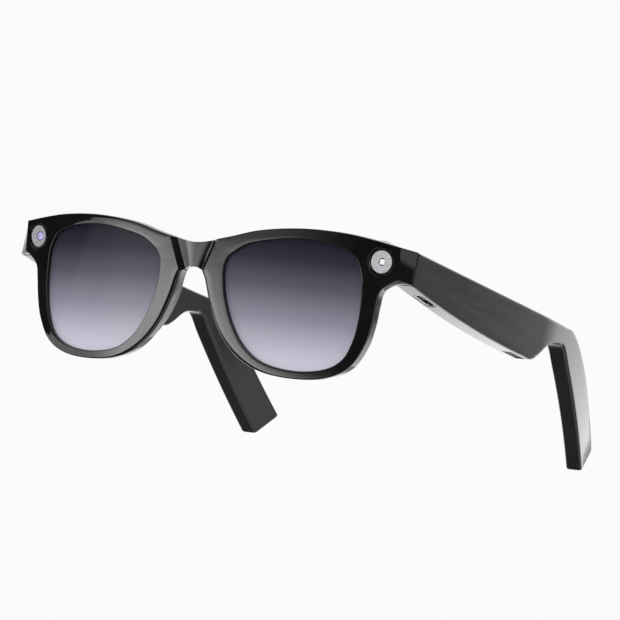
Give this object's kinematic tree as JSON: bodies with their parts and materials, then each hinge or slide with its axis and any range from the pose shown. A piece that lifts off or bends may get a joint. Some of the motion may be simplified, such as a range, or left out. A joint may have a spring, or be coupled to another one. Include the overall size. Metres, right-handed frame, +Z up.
{
  "type": "smart glasses",
  "caption": "Smart glasses with thick rims, a camera and a light at the front corners, open-ear speakers and folding temples.",
  "frame": {"origin": "middle of the bounding box, at its base, where the rims and the temple tips stand", "axes": "+X towards the wearer's left, -Y the way the wearer looks, +Z up; the temples are open and run along +Y"},
  "size_m": [0.1548, 0.1482, 0.0459],
  "materials": {
    "gloss_black": "polished black",
    "satin_black": "satin black",
    "tinted_lens": "gradient tint",
    "hinge_steel": "brushed",
    "board_green": "solder mask",
    "flex_amber": "polyimide film",
    "bezel_black": "black ring",
    "camera_glass": "coated glass",
    "barrel_violet": "coated optics",
    "light_diffuser": "frosted",
    "emitter_cream": "phosphor",
    "cell_wrap": "foil wrap",
    "speaker_body": "matt black",
    "grille_grey": "fine texture",
    "switch_tin": "stamped tin",
    "microphone_can": "plated can"
  },
  "bodies": {
    "front": {"front_frame": "gloss_black", "rear_cover": "satin_black", "lens_left": "tinted_lens", "lens_right": "tinted_lens", "front_flex": "flex_amber", "camera_bezel": "bezel_black", "light_bezel": "bezel_black", "camera_window": "camera_glass", "light_window": "light_diffuser", "camera_barrel": "barrel_violet", "light_emitter": "emitter_cream", "camera_board": "board_green", "light_board": "board_green", "front_hinge_leaf_left": "hinge_steel", "front_hinge_leaf_right": "hinge_steel", "hinge_pin_left": "hinge_steel", "hinge_pin_right": "hinge_steel", "front_leaf_screw_left_1": "hinge_steel", "front_leaf_screw_left_2": "hinge_steel", "front_leaf_screw_right_1": "hinge_steel", "front_leaf_screw_right_2": "hinge_steel"},
    "left_temple": {"left_temple_shell": "gloss_black", "left_temple_lid": "satin_black", "left_temple_leaf": "hinge_steel", "left_temple_leaf_screw_1": "hinge_steel", "left_temple_leaf_screw_2": "hinge_steel", "left_circuit": "board_green", "left_battery": "cell_wrap", "left_speaker": "speaker_body", "left_speaker_grille": "grille_grey", "charging_port": "hinge_steel"},
    "right_temple": {"right_temple_shell": "gloss_black", "right_temple_lid": "satin_black", "right_temple_leaf": "hinge_steel", "right_temple_leaf_screw_1": "hinge_steel", "right_temple_leaf_screw_2": "hinge_steel", "right_circuit": "board_green", "right_battery": "cell_wrap", "right_speaker": "speaker_body", "right_speaker_grille": "grille_grey", "button_switch": "switch_tin", "microphone": "microphone_can"},
    "capture_button": {"capture_button": "gloss_black"}
  },
  "joints": [
    {"name": "left_temple_fold", "type": "hinge", "parent": "front", "child": "left_temple", "pos_m": [0.0686, -0.06016, 0.0376], "axis": [0, 0, 1], "range_deg": [0, 86]},
    {"name": "right_temple_fold", "type": "hinge", "parent": "front", "child": "right_temple", "pos_m": [-0.0686, -0.06016, 0.0376], "axis": [0, 0, -1], "range_deg": [0, 66]},
    {"name": "capture_button_press", "type": "slide", "parent": "right_temple", "child": "capture_button", "axis": [0, 0, -1], "range_m": [0, 0.0004], "stiffness_N_per_m": 600, "springref_m": -0.0005}
  ]
}
